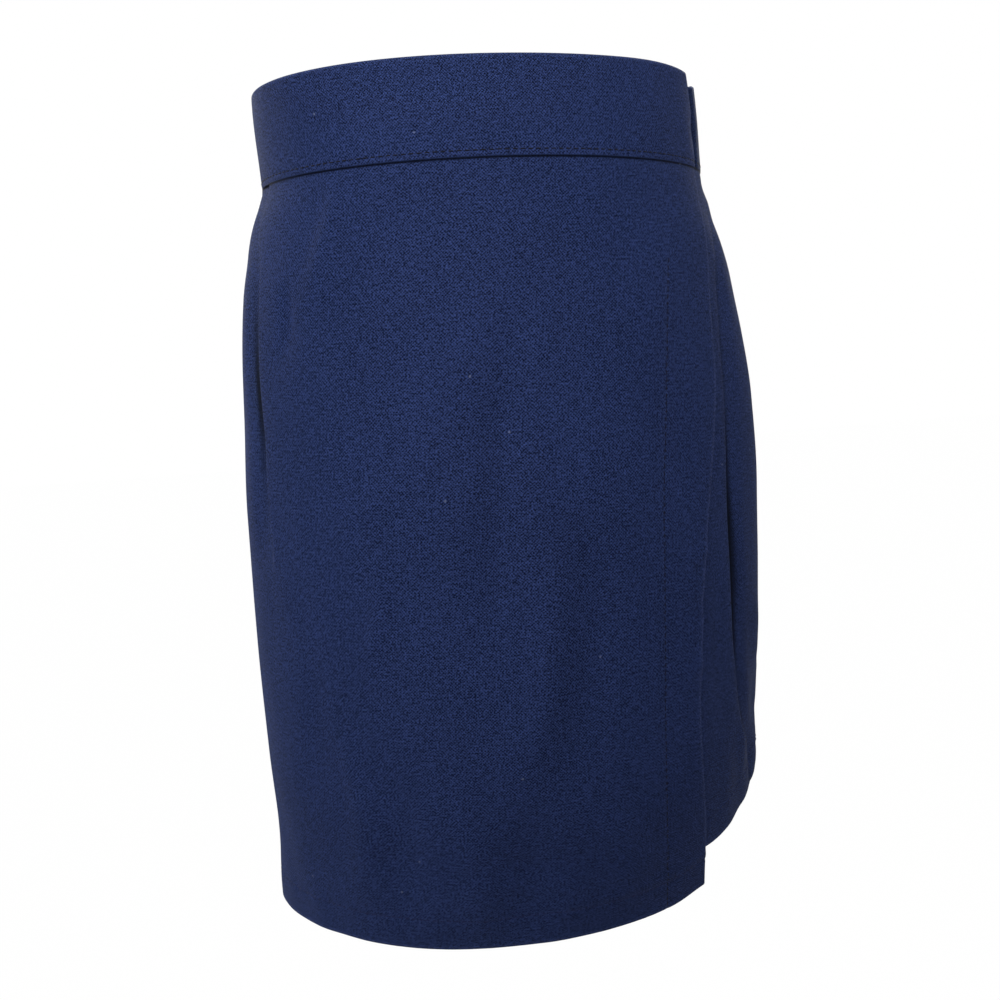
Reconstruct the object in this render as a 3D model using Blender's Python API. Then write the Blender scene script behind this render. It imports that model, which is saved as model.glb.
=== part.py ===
"""A girl's school skort: shorts with a skirt panel sewn over the front, filled out as if worn.

Run with blender --background --python part.py, or from the Text editor.

The origin is the centre of the waist at its top edge, where the wearer holds the garment up.
+X is the wearer's left, the front faces -Y and +Z is up. Sizes are in millimetres until a mesh is made.
Plan angles are counted in degrees from centre front towards the wearer's left.
"""
import math

import bmesh
import bpy
import numpy as np

MM = 0.001

# ---------------------------------------------------------------- driving sizes, in millimetres and degrees
CLOTH_WALL = 1.2            # one ply of the gabardine, with its ease
BAND_WALL = 3.0             # folded band: two plies, interfacing and the seam allowances inside it
SEAM_GAP = 0.3              # left between pieces where they are sewn together

BAND_WIDTH = 44.0
BAND_OUT = 1.3              # band's middle above the shorts' cloth, so that it covers both layers below
TOP_ROW = -44.8             # where the cloth below the band starts
FLAP_OUT = 2.1              # front panel's middle above the shorts' cloth

LAP_END = 66.0              # angle of the band's front end
LAP_LENGTH = 28.0           # degrees that the band runs on under itself
LAP_DROP = 6.0              # underlap's middle below the overlap's middle
LAP_RETURN = (66.5, 78.0)   # angles between which the underlap comes out to the band's own line

RISE_START = -190.0         # height where the centre seams begin to curve under
CROTCH = -265.0             # height where the four leg pieces meet
LEG_CENTRE = 60.0           # middle of each leg from the centre line, below the crotch
CROTCH_PARTING = 0.62       # how far each inner leg stands off the centre line just below the rise
CROTCH_PARTING_RUN = 0.15   # share of the rise's curve over which it gets there
LEG_PARTING = 5.0           # how much further it stands off at the hem
LEG_CORNER = 4.0            # squareness of the legs' inner corners
FORK_EDGE = 16.0            # the cloth turns in between the legs from this far off the centre line
SIDE_SEAM_GAP = 0.25        # half of what is left open between front and back at the side seams

LEG_HEM_SIDE = -350.0       # leg hem at the side seam
LEG_HEM_DROP = 21.0         # how much lower it hangs at front and back
LEG_HEM_RUN = 85.0          # length of the curve from one to the other
FLAP_HEM_SIDE = -401.4      # panel's hem at the side seam
FLAP_HEM_EDGE = -395.2      # panel's hem at its free edge
FLAP_HEM_POWER = 2.0        # how late the hem rises on its way to the free edge
FLAP_CORNER_LIFT = 2.5      # rounding of the panel's lower corner at the side seam: height
FLAP_CORNER_RUN = 9.0       # and length

FOLD_FLAT = 3.0             # length that lies level under a tuck's fold, towards the side seam
FOLD_INNER_GAP = 0.4        # opening inside the hidden fold
RUN_UNDER = 16.0            # length over which the cloth goes down under a fold
RUN_OVER = 16.0             # length over which it comes down from the fold on the other side
MIN_TURN = 1.0              # a tuck that has run out keeps this much turn
MIN_DEPTH = 0.3             # and this much depth, so that its columns stay apart

UNDER_TUCK = 3.4                            # how deep the right leg's front dips to clear the panel's tuck
UNDER_TUCK_ACROSS = (2.0, 13.0, 50.0, 110.0)    # from the side seam: starts, is full, still full, has run out
UNDER_TUCK_DOWN = (-215.0, -262.0)          # heights between which the dip fades

HOOK_SIZE = (11.0, 9.0, 0.6)    # trouser hook: across the lap, up the band, thick
BAR_SIZE = (5.0, 13.0, 0.6)     # its bar
PLATE_CORNER = 1.5              # radius of their corners
HOOK_ANGLE = 52.0
HOOK_CLEAR = 0.7                # each stands this far off the band that it is sewn to

# The figure under the cloth: an ellipse through these at each height, the middle of the shorts' wall.
FORM = {
    "columns": ("height", "half_width", "front", "back"),
    "rows": (
        (0.0, 107.3, -68.0, 86.0),
        (-44.0, 106.0, -82.0, 84.0),
        (-60.0, 109.0, -86.5, 85.0),
        (-77.0, 115.0, -92.0, 88.0),
        (-96.0, 119.0, -97.0, 91.5),
        (-125.0, 121.8, -103.0, 95.0),
        (-155.0, 123.6, -107.5, 97.3),
        (-200.0, 126.0, -112.0, 100.0),
        (-260.0, 126.5, -112.0, 101.0),
        (-320.0, 125.5, -107.0, 102.0),
        (-360.0, 124.0, -98.0, 105.0),
        (-403.0, 124.0, -84.0, 110.0),
    ),
}

# The panel's free edge: it swings in from the waist seam, hangs straight and flares at the hem.
FREE_EDGE = {
    "columns": ("height", "angle"),
    "rows": (
        (-44.0, 60.0),
        (-76.0, 51.0),
        (-110.0, 44.8),
        (-150.0, 41.3),
        (-200.0, 35.0),
        (-245.0, 32.2),
        (-285.0, 31.0),
        (-325.0, 32.7),
        (-360.0, 36.3),
        (-403.0, 39.6),
    ),
}

# A tuck is a pressed fold that laps towards the side seam.
# edge: degrees from centre front to its fold; depth: how far it goes under;
# turn: degrees that the cloth turns at each fold, 180 being shut flat; gape: opening behind the fold;
# lift: how proud the fold stands; belly: how far the cloth between it and the side seam swells out.
TUCK_COLUMNS = ("height", "edge", "depth", "turn", "gape", "lift", "belly")
PANEL_TUCK = {
    "columns": TUCK_COLUMNS,
    "rows": (
        (-44.0, 77.0, 9.0, 180.0, 0.4, 0.0, 0.0),
        (-65.0, 75.5, 7.5, 180.0, 0.4, 0.2, 0.0),
        (-88.0, 70.5, 6.0, 180.0, 0.5, 0.4, 0.8),
        (-130.0, 69.5, 2.5, 180.0, 0.8, 0.6, 1.0),
        (-165.0, 67.3, 0.5, 175.0, 0.7, 0.5, 1.0),
        (-195.0, 67.5, 0.0, 90.0, 0.4, 0.2, 0.5),
        (-225.0, 68.0, 0.0, 0.0, 0.4, 0.0, 0.0),
        (-403.0, 68.0, 0.0, 0.0, 0.4, 0.0, 0.0),
    ),
}
LEG_TUCK = {
    "columns": TUCK_COLUMNS,
    "rows": (
        (-44.0, 70.0, 14.0, 180.0, 0.4, 0.0, 1.5),
        (-65.0, 64.5, 13.5, 180.0, 0.4, 0.0, 0.8),
        (-82.0, 58.0, 13.0, 180.0, 0.4, 0.0, 1.0),
        (-102.0, 52.5, 13.0, 180.0, 0.4, 0.0, 1.5),
        (-125.0, 49.8, 12.5, 180.0, 0.4, 0.0, 3.0),
        (-155.0, 48.0, 12.0, 180.0, 0.6, 0.2, 4.5),
        (-200.0, 44.8, 11.0, 180.0, 1.8, 0.5, 3.5),
        (-260.0, 45.8, 10.0, 180.0, 2.2, 0.8, 2.5),
        (-290.0, 48.2, 9.0, 180.0, 1.9, 0.8, 1.8),
        (-317.0, 53.2, 7.5, 180.0, 1.4, 0.8, 1.5),
        (-340.0, 61.0, 6.5, 180.0, 0.5, 1.2, 3.5),
        (-371.0, 69.0, 6.0, 180.0, 0.4, 5.5, 9.0),
    ),
}

# ---------------------------------------------------------------- grids: rows run down, columns across
LEG_ROWS_ABOVE = (TOP_ROW, -68.0, -92.0, -122.0, -156.0, RISE_START)
RISE_ROWS = 5               # rows along the curve under the crotch
LEG_ROWS_BELOW = 4          # rows from the crotch to the hem
PANEL_ROWS = (TOP_ROW, -64.0, -84.0, -106.0, -130.0, -155.0, -180.0, -205.0,
              -235.0, -270.0, -305.0, -340.0, -373.0, -400.0)
PLAIN_COLUMNS = 15          # side seam to fork on a leg's front or back with no tuck
FORK_COLUMNS = 7            # fork to centre seam or inseam
FORK_CROWDING = 1.4         # power that crowds those columns towards the leg's face
RUN_IN_COLUMNS = 6          # side seam to tuck
TURN_STEPS = 4              # facets round each fold
LEG_RUN_OUT_COLUMNS = 11    # tuck to fork
PANEL_RUN_OUT_COLUMNS = 19  # tuck to free edge
RUN_OUT_CROWDING = 1.15     # power that crowds those columns towards the fold
BAND_ROWS = 3
BAND_STEP = 6.0             # degrees round the waist
SECTION_POINTS = 241        # points that a section's length is measured on
MITRE_LIMIT = 0.7           # least cosine that a wall's corner is thickened by
SHARP_ANGLE = 50.0          # edges sharper than this are shaded as creases

NAVY = (0.0160, 0.0270, 0.0800)
STEEL = (0.45, 0.45, 0.46)
CLOTH_ROUGHNESS = 0.85
STEEL_ROUGHNESS = 0.35


# ---------------------------------------------------------------- curves
def read(table, column, height):
    """Value of a table's named column at a height, on a smooth curve that never overshoots its rows."""
    rows = np.array(table["rows"])[::-1]
    x = rows[:, 0]
    y = rows[:, table["columns"].index(column)]
    step = np.diff(x)
    slope = np.diff(y) / step
    product = slope[:-1] * slope[1:]
    total = np.where(product > 0.0, slope[:-1] + slope[1:], 1.0)
    inner = np.where(product > 0.0, 2.0 * product / total, 0.0)
    tangent = np.concatenate([slope[:1], inner, slope[-1:]])
    at = min(max(height, x[0]), x[-1])
    i = min(max(int(np.searchsorted(x, at)) - 1, 0), len(step) - 1)
    t = (at - x[i]) / step[i]
    return float(
        y[i] * (1.0 + 2.0 * t) * (1.0 - t) ** 2
        + tangent[i] * step[i] * t * (1.0 - t) ** 2
        + y[i + 1] * t * t * (3.0 - 2.0 * t)
        + tangent[i + 1] * step[i] * t * t * (t - 1.0)
    )


def ease(value, start, end):
    """0 before start and 1 after end, with a smooth change between them."""
    t = min(max((value - start) / (end - start), 0.0), 1.0)
    return t * t * (3.0 - 2.0 * t)


def form(height):
    """Half width, half depth and the middle's y of the figure's ellipse at a height."""
    front = read(FORM, "front", height)
    back = read(FORM, "back", height)
    return read(FORM, "half_width", height), (back - front) / 2.0, (back + front) / 2.0


def ring_point(height, angle):
    """Plan point of the figure's ellipse at an angle, or a row of points for a row of angles."""
    half, depth, middle = form(height)
    turn = np.radians(angle)
    return np.stack([half * np.sin(turn), middle - depth * np.cos(turn)], axis=-1)


def ring_facing(height, angle):
    """Direction straight out of the figure's ellipse there, as an angle from +X."""
    half, depth, _ = form(height)
    turn = math.radians(angle)
    return math.atan2(-math.cos(turn) / depth, math.sin(turn) / half)


# ---------------------------------------------------------------- sections: plan curves that pieces follow
class Section:
    """A plan curve with the distance along it, starting at a side seam."""

    def __init__(self, points, outward):
        self.points = points
        steps = np.linalg.norm(np.diff(points, axis=0), axis=1)
        self.along = np.concatenate([[0.0], np.cumsum(steps)])
        self.length = float(self.along[-1])
        tangent = np.gradient(points, axis=0)
        tangent /= np.linalg.norm(tangent, axis=1)[:, None]
        self.normal = outward * np.stack([tangent[:, 1], -tangent[:, 0]], axis=1)

    def reaches(self, x):
        """Distance at which the curve first comes within x of the centre line."""
        away = np.abs(self.points[:, 0])
        i = int(np.argmax(away < x))
        share = (away[i - 1] - x) / (away[i - 1] - away[i])
        return float(self.along[i - 1] + share * (self.along[i] - self.along[i - 1]))

    def place(self, distance, out):
        """Plan point at a distance along the curve and a height above it."""
        point = [np.interp(distance, self.along, self.points[:, k]) for k in (0, 1)]
        normal = [np.interp(distance, self.along, self.normal[:, k]) for k in (0, 1)]
        scale = out / math.hypot(*normal)
        return point[0] + normal[0] * scale, point[1] + normal[1] * scale


def panel_section(height):
    """The front panel's curve, from the wearer's right side seam round the front and past its free edge."""
    return Section(ring_point(height, np.linspace(-90.0, 90.0, SECTION_POINTS)), 1.0)


def leg_section(height, side, face):
    """One leg's curve, from its side seam to its centre seam or inseam, and the distance to its fork.

    side is +1 for the wearer's left leg and -1 for the right; face is -1 for the front and +1 for the back.
    Rays from the leg's middle meet the figure's ellipse outside and the centre plane inside.
    """
    half, depth, middle = form(height)
    under = min(max((RISE_START - height) / (RISE_START - CROTCH), 0.0), 1.0)
    centre = LEG_CENTRE * under
    parting = SEAM_GAP / 2.0 + CROTCH_PARTING * ease(under, 0.0, CROTCH_PARTING_RUN)
    parting += LEG_PARTING * ease(-height, -CROTCH, -LEG_HEM_SIDE)
    seam_depth = depth * math.sqrt(1.0 - under * under) + SEAM_GAP / 2.0
    first = -math.degrees(math.atan2(centre - parting, seam_depth)) if under > 0.0 else 0.0
    turn = np.radians(np.linspace(90.0, first, SECTION_POINTS))
    across = np.sin(turn)
    forward = np.cos(turn)
    square = (across / half) ** 2 + (forward / depth) ** 2
    line = centre * across / half ** 2
    reach = (-line + np.sqrt(line ** 2 + square * (1.0 - (centre / half) ** 2))) / square
    if under > 0.0:
        to_plane = (centre - parting) / np.maximum(-across, 1e-6)
        corner = LEG_CORNER / under
        reach = reach / (1.0 + (reach / to_plane) ** corner) ** (1.0 / corner)
    x = np.maximum(centre + reach * across, SEAM_GAP / 2.0)
    y = reach * forward
    y[0] = SIDE_SEAM_GAP
    section = Section(np.stack([side * x, middle + face * y], axis=1), side * face)
    return section, section.reaches(parting + FORK_EDGE)


def fold_points(start, up, angle, radius, flip):
    """One fold of a tuck: it turns by angle from level, or with flip from that angle back to level."""
    points = []
    for k in range(1, TURN_STEPS + 1):
        part = angle * (1.0 - k / TURN_STEPS if flip else k / TURN_STEPS)
        if flip:
            points.append((
                start + radius * (math.sin(angle) - math.sin(part)),
                up + radius * (math.cos(part) - math.cos(angle)),
            ))
        else:
            points.append((start + radius * math.sin(part), up + radius * (1.0 - math.cos(part))))
    return points


def crowded(start, end, count, power):
    """Distances from start to end, without start itself, that lie closer together near start."""
    return [start + (end - start) * (k / count) ** power for k in range(1, count + 1)]


def fork_stops(fork, section):
    """Distances of the columns from a leg's fork to its centre seam or inseam."""
    return crowded(fork, section.length, FORK_COLUMNS, FORK_CROWDING)


def tuck_path(tuck, height, edge_distance, far, run_out, beyond=()):
    """Distances along a section, and heights above it, of a cloth that folds under once.

    It starts at the side seam, runs in under the fold, turns back, turns again at the fold's edge, runs out to far
    and goes on through the distances beyond.
    """
    turn = max(read(tuck, "turn", height), MIN_TURN)
    depth = max(read(tuck, "depth", height), MIN_DEPTH)
    belly = read(tuck, "belly", height)
    angle = math.radians(turn)
    inner = (CLOTH_WALL + FOLD_INNER_GAP) / 2.0 * 180.0 / turn
    outer = (CLOTH_WALL + read(tuck, "gape", height)) / 2.0 * 180.0 / turn
    low = read(tuck, "lift", height) - (inner + outer) * (1.0 - math.cos(angle)) - depth * math.sin(angle)
    before = edge_distance - FOLD_FLAT
    points = []
    for k in range(RUN_IN_COLUMNS):
        share = k / (RUN_IN_COLUMNS - 1)
        swell = belly * math.sin(math.pi * share)
        points.append((before * share, swell + low * ease(before * share, before - RUN_UNDER, before)))
    along = edge_distance + (depth + outer) * turn / 180.0
    points.append((along, low))
    points += fold_points(along, low, angle, inner, flip=False)
    along = points[-1][0] + depth * math.cos(angle)
    up = points[-1][1] + depth * math.sin(angle)
    points.append((along, up))
    points += fold_points(along, up, angle, outer, flip=True)
    along, up = points[-1]
    for stop in crowded(along, far, run_out, RUN_OUT_CROWDING) + list(beyond):
        points.append((stop, up * (1.0 - ease(stop - along, 0.0, RUN_OVER))))
    return points


# ---------------------------------------------------------------- meshes
def unit_steps(grid, axis):
    """At each point, the mean of the unit steps on both sides of it along one axis, and its length."""
    step = np.diff(grid, axis=axis)
    step /= np.linalg.norm(step, axis=2)[..., None]
    first = np.take(step, [0], axis=axis)
    last = np.take(step, [-1], axis=axis)
    mean = (np.concatenate([first, step], axis=axis) + np.concatenate([step, last], axis=axis)) / 2.0
    length = np.linalg.norm(mean, axis=2)[..., None]
    return mean / length, length


def wall(name, grid, thickness, material, parent):
    """A closed wall of even thickness on both sides of a grid of points."""
    down, down_length = unit_steps(grid, 0)
    across, across_length = unit_steps(grid, 1)
    normal = np.cross(down, across)
    normal /= np.linalg.norm(normal, axis=2)[..., None]
    shift = normal * (thickness / 2.0) / np.maximum(down_length * across_length, MITRE_LIMIT)
    rows, columns = grid.shape[:2]
    verts = np.concatenate([(grid + shift).reshape(-1, 3), (grid - shift).reshape(-1, 3)]) * MM

    def index(i, j, layer):
        return (layer * rows + i) * columns + j

    faces = []
    for i in range(rows - 1):
        for j in range(columns - 1):
            for layer in (0, 1):
                corners = [(i, j), (i, j + 1), (i + 1, j + 1), (i + 1, j)]
                faces.append(tuple(index(*corner, layer) for corner in corners[::2 * layer - 1]))
    rim = [(0, j) for j in range(columns)] + [(i, columns - 1) for i in range(1, rows)]
    rim += [(rows - 1, j) for j in range(columns - 2, -1, -1)] + [(i, 0) for i in range(rows - 2, 0, -1)]
    for here, there in zip(rim, rim[1:] + rim[:1]):
        faces.append((index(*here, 0), index(*there, 0), index(*there, 1), index(*here, 1)))
    return add_mesh(name, verts.tolist(), faces, material, parent)


def add_mesh(name, verts, faces, material, parent):
    """One object from vertices and faces, its faces turned outward and split into triangles."""
    mesh = bpy.data.meshes.new(name)
    mesh.from_pydata(verts, [], faces)
    body = bmesh.new()
    body.from_mesh(mesh)
    bmesh.ops.triangulate(body, faces=body.faces)
    bmesh.ops.recalc_face_normals(body, faces=body.faces)
    body.to_mesh(mesh)
    body.free()
    mesh.shade_smooth()
    mesh.set_sharp_from_angle(angle=math.radians(SHARP_ANGLE))
    mesh.materials.append(material)
    item = bpy.data.objects.new(name, mesh)
    item.parent = parent
    bpy.context.scene.collection.objects.link(item)
    return item


def plain_material(name, colour, roughness, metallic):
    """A plain Principled material."""
    material = bpy.data.materials.new(name)
    material.use_nodes = True
    shader = material.node_tree.nodes["Principled BSDF"]
    shader.inputs["Base Color"].default_value = (*colour, 1.0)
    shader.inputs["Roughness"].default_value = roughness
    shader.inputs["Metallic"].default_value = metallic
    return material


# ---------------------------------------------------------------- pieces
def leg_heights():
    """Row heights from the waist seam to the crotch; they crowd where the centre seam turns under."""
    heights = list(LEG_ROWS_ABOVE)
    for k in range(1, RISE_ROWS + 1):
        heights.append(RISE_START + (CROTCH - RISE_START) * math.sin(math.radians(90.0 * k / RISE_ROWS)))
    return heights


def leg_hem(distance):
    """Height of a leg's hem at a distance from its side seam."""
    return LEG_HEM_SIDE - LEG_HEM_DROP * ease(distance, 0.0, LEG_HEM_RUN)


def under_tuck(distance, height):
    """How deep the right leg's front lies at a place, to leave room for the panel's tuck over it."""
    start, full, still_full, end = UNDER_TUCK_ACROSS
    across = ease(distance, start, full) * (1.0 - ease(distance, still_full, end))
    return UNDER_TUCK * across * (1.0 - ease(-height, -UNDER_TUCK_DOWN[0], -UNDER_TUCK_DOWN[1]))


def leg_columns(height, side, face, tucked):
    """Section of one leg piece at a height, with its columns' distances and heights above it."""
    section, fork = leg_section(height, side, face)
    beyond = fork_stops(fork, section)
    if tucked:
        to_fold = ring_point(height, np.linspace(90.0, read(LEG_TUCK, "edge", height), SECTION_POINTS))
        edge_distance = float(np.linalg.norm(np.diff(to_fold, axis=0), axis=1).sum())
        return section, tuck_path(LEG_TUCK, height, edge_distance, fork, LEG_RUN_OUT_COLUMNS, beyond)
    points = []
    for distance in [fork * k / (PLAIN_COLUMNS - 1) for k in range(PLAIN_COLUMNS)] + beyond:
        dip = under_tuck(distance, height) if side < 0 and face < 0 else 0.0
        points.append((distance, -dip))
    return section, points


def leg_piece(name, side, face, tucked, material, parent):
    """Front or back of one leg, from the waist seam to its hem."""
    lowest = leg_columns(LEG_HEM_SIDE - LEG_HEM_DROP, side, face, tucked)[1]
    hem_at = [leg_hem(distance) for distance, _ in lowest]
    grid = []
    for height in leg_heights():
        section, points = leg_columns(height, side, face, tucked)
        grid.append([(*section.place(distance, out), height) for distance, out in points])
    for k in range(1, LEG_ROWS_BELOW + 1):
        row = []
        for column, hem in enumerate(hem_at):
            height = CROTCH + (hem - CROTCH) * k / LEG_ROWS_BELOW
            section, points = leg_columns(height, side, face, tucked)
            row.append((*section.place(*points[column]), height))
        grid.append(row)
    return wall(name, np.array(grid), CLOTH_WALL, material, parent)


def panel_columns(height):
    """Section of the front panel at a height, with its columns."""
    section = panel_section(height)
    ring = np.linspace(-90.0, 90.0, SECTION_POINTS)
    edge_distance = float(np.interp(-read(PANEL_TUCK, "edge", height), ring, section.along))
    far = float(np.interp(read(FREE_EDGE, "angle", height), ring, section.along))
    return section, tuck_path(PANEL_TUCK, height, edge_distance, far, PANEL_RUN_OUT_COLUMNS)


def panel_hem(distance, width):
    """Height of the panel's hem at a distance from the side seam."""
    rise = (FLAP_HEM_EDGE - FLAP_HEM_SIDE) * (distance / width) ** FLAP_HEM_POWER
    return FLAP_HEM_SIDE + rise + FLAP_CORNER_LIFT * (1.0 - ease(distance, 0.0, FLAP_CORNER_RUN))


def front_panel(material, parent):
    """Skirt panel over the front, sewn into the waist and the right side seam, with a free left edge."""
    lowest = panel_columns(FLAP_HEM_SIDE)[1]
    hem_at = [panel_hem(distance, lowest[-1][0]) for distance, _ in lowest]
    grid = []
    for level in PANEL_ROWS:
        share = (TOP_ROW - level) / (TOP_ROW - PANEL_ROWS[-1])
        row = []
        for column, hem in enumerate(hem_at):
            height = TOP_ROW + (hem - TOP_ROW) * share
            section, points = panel_columns(height)
            distance, out = points[column]
            row.append((*section.place(max(distance, SEAM_GAP / 2.0), out + FLAP_OUT), height))
        grid.append(row)
    return wall("front_panel", np.array(grid), CLOTH_WALL, material, parent)


def waistband(material, parent):
    """One strip from its hidden end under the lap, round the back, to its front end over the lap."""
    sweep = 360.0 + LAP_LENGTH
    count = round(sweep / BAND_STEP)
    grid = []
    for height in np.linspace(0.0, -BAND_WIDTH, BAND_ROWS):
        row = []
        for k in range(count + 1):
            angle = LAP_END - LAP_LENGTH + sweep * k / count
            out = BAND_OUT - LAP_DROP * (1.0 - ease(angle, *LAP_RETURN))
            facing = ring_facing(height, angle)
            x, y = ring_point(height, angle)
            row.append((x + math.cos(facing) * out, y + math.sin(facing) * out, height))
        grid.append(row)
    return wall("waistband", np.array(grid), BAND_WALL, material, parent)


def lap_plate(name, size, out, material, parent):
    """A small flat plate inside the lap, square to the band, with rounded corners."""
    across, tall, thick = [value * MM for value in size]
    body = bmesh.new()
    bmesh.ops.create_cube(body, size=1.0)
    bmesh.ops.scale(body, vec=(thick, across, tall), verts=body.verts)
    through = [e for e in body.edges if abs(e.verts[0].co.x - e.verts[1].co.x) > thick / 2.0]
    bmesh.ops.bevel(body, geom=through, offset=PLATE_CORNER * MM, segments=3, profile=0.5, affect="EDGES")
    bmesh.ops.triangulate(body, faces=body.faces)
    mesh = bpy.data.meshes.new(name)
    body.to_mesh(mesh)
    body.free()
    mesh.materials.append(material)
    plate = bpy.data.objects.new(name, mesh)
    plate.parent = parent
    height = -BAND_WIDTH / 2.0
    facing = ring_facing(height, HOOK_ANGLE)
    x, y = ring_point(height, HOOK_ANGLE)
    slope = ring_point(0.0, HOOK_ANGLE) - ring_point(-BAND_WIDTH, HOOK_ANGLE)
    lean = math.atan2(slope[0] * math.cos(facing) + slope[1] * math.sin(facing), BAND_WIDTH)
    plate.location = ((x + out * math.cos(facing)) * MM, (y + out * math.sin(facing)) * MM, height * MM)
    plate.rotation_euler = (0.0, lean, facing)
    bpy.context.scene.collection.objects.link(plate)
    return plate


def main():
    """Clear the scene and make every piece."""
    for item in list(bpy.data.objects):
        bpy.data.objects.remove(item, do_unlink=True)
    skort = bpy.data.objects.new("skort", None)
    bpy.context.scene.collection.objects.link(skort)

    def cloth(name):
        return plain_material(name, NAVY, CLOTH_ROUGHNESS, 0.0)

    def steel(name):
        return plain_material(name, STEEL, STEEL_ROUGHNESS, 1.0)

    waistband(cloth("band_cloth"), skort)
    front_panel(cloth("panel_cloth"), skort)
    leg_piece("left_leg_front", 1, -1, True, cloth("left_front_cloth"), skort)
    leg_piece("right_leg_front", -1, -1, False, cloth("right_front_cloth"), skort)
    leg_piece("left_leg_back", 1, 1, False, cloth("left_back_cloth"), skort)
    leg_piece("right_leg_back", -1, 1, False, cloth("right_back_cloth"), skort)
    hook_out = BAND_OUT - BAND_WALL / 2.0 - HOOK_CLEAR - HOOK_SIZE[2] / 2.0
    bar_out = BAND_OUT - LAP_DROP + BAND_WALL / 2.0 + HOOK_CLEAR + BAR_SIZE[2] / 2.0
    lap_plate("waist_hook", HOOK_SIZE, hook_out, steel("hook_steel"), skort)
    lap_plate("waist_bar", BAR_SIZE, bar_out, steel("bar_steel"), skort)


main()
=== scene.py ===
from math import atan2, cos, degrees, hypot, pi, radians, sin, sqrt

import bpy
import numpy as np
from mathutils import Matrix, Vector


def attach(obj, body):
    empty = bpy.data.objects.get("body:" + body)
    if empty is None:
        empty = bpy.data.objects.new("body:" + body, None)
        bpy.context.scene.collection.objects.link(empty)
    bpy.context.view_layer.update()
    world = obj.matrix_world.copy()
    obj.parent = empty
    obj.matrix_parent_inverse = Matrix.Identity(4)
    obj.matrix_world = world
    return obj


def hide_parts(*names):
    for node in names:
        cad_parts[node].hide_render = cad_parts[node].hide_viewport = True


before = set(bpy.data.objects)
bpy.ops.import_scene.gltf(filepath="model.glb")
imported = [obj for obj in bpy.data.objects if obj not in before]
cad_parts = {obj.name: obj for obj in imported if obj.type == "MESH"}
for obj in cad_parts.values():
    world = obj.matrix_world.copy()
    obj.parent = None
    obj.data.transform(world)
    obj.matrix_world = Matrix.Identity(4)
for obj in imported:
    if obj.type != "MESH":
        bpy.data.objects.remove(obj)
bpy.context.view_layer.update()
scene = bpy.context.scene
mm = 0.001  # everything below is in millimetres and degrees until a mesh is made

# The figure that fills the skort out: height, half width, front, back. +X is the wearer's left, the front faces -Y.
figure = [
    (6, 106.2, -66, 86), (0, 107.3, -68, 86), (-44, 106, -82, 84), (-60, 109, -86.5, 85), (-77, 115, -92, 88),
    (-96, 119, -97, 91.5), (-125, 121.8, -103, 95), (-155, 123.6, -107.5, 97.3), (-200, 126, -112, 100),
    (-260, 126.5, -112, 101), (-320, 125.5, -107, 102), (-360, 124, -98, 105), (-403, 124, -84, 110),
]

cloth = {
    "ply": 0.7,             # one ply of the suiting
    "pressedPly": 0.5,      # the same, nipped in the waist seam
    "layerGap": 0.2,        # left between plies that lie on each other
    "bulkyFold": 1.3,       # fold radius where hemmed cloth is folded again
    "hemFold": 0.5,         # fold radius of a hem
    "hemDeep": 20.0, "hemStitch": 17.0,
    "allowance": 8.0,       # seam allowance, pressed open
    "seamGap": 0.08,        # each edge stands this far off its seam line
    "seamTop": -43.6,       # cloth ends here, inside the waistband's lower edge
    "threadPitch": 0.7,     # really 0.45: drawn half as coarse again, or the threads melt into a flat tone
}

# A fold: its flat stretch, how soon the cloth settles on either side of it, and the points along each part.
folding = {
    "flat": 3.0, "runUnder": 16.0, "runOver": 16.0, "innerGap": 0.3, "clear": 0.06,
    "leastTurn": 1.0, "leastDepth": 0.3,
    "inPoints": 26, "arcPoints": 8, "turnPoints": 6, "allowancePoints": 4, "facingPoints": 13,
}

stitches = {"pitch": 3.4, "visible": 2.3, "thread": 0.28, "dive": 0.35, "sides": 6}


def readRows(rows, height, column=1):  # smooth curve through one column of a table; never overshoots its rows
    table = np.array(rows, float)[::-1]
    x, y = table[:, 0], table[:, column]
    step = np.diff(x)
    slope = np.diff(y) / step
    product = slope[:-1] * slope[1:]
    total = np.where(product > 0, slope[:-1] + slope[1:], 1)
    tangent = np.concatenate([slope[:1], np.where(product > 0, 2 * product / total, 0), slope[-1:]])
    at = np.clip(height, x[0], x[-1])
    i = np.clip(np.searchsorted(x, at) - 1, 0, len(step) - 1)
    t = (at - x[i]) / step[i]
    return (y[i] * (1 + 2 * t) * (1 - t) ** 2 + tangent[i] * step[i] * t * (1 - t) ** 2
            + y[i + 1] * t * t * (3 - 2 * t) + tangent[i + 1] * step[i] * t * t * (t - 1))


def ease(value, start, end):
    t = np.clip((value - start) / (end - start), 0, 1)
    return t * t * (3 - 2 * t)


def fade(value, start, end):
    return 1 - ease(value, start, end)


def hump(value, middle, halfWidth):
    return np.exp(-((value - middle) / halfWidth) ** 2)


def runAlong(points):  # length of a line up to each of its points
    return np.concatenate([[0], np.cumsum(np.linalg.norm(np.diff(points, axis=0), axis=1))])


def unit(vectors):
    return vectors / np.maximum(np.linalg.norm(vectors, axis=-1), 1e-9)[..., None]


def readLine(at, along, values):  # a line's values at a distance along it
    return np.stack([np.interp(at, along, column) for column in values.T], -1)


def figureAt(height):  # half width, half depth and middle
    half, front, back = (readRows(figure, height, column) for column in (1, 2, 3))
    return half, (back - front) / 2, (back + front) / 2


def ringAt(height, angle):  # plan point on the figure and the direction straight out of it
    half, depth, middle = figureAt(height)
    turn = np.radians(angle)
    point = np.stack(np.broadcast_arrays(half * np.sin(turn), middle - depth * np.cos(turn)), -1)
    return point, unit(np.stack(np.broadcast_arrays(np.sin(turn) / half, -np.cos(turn) / depth), -1))


ringTurns = np.linspace(-90, 90, 361)


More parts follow.
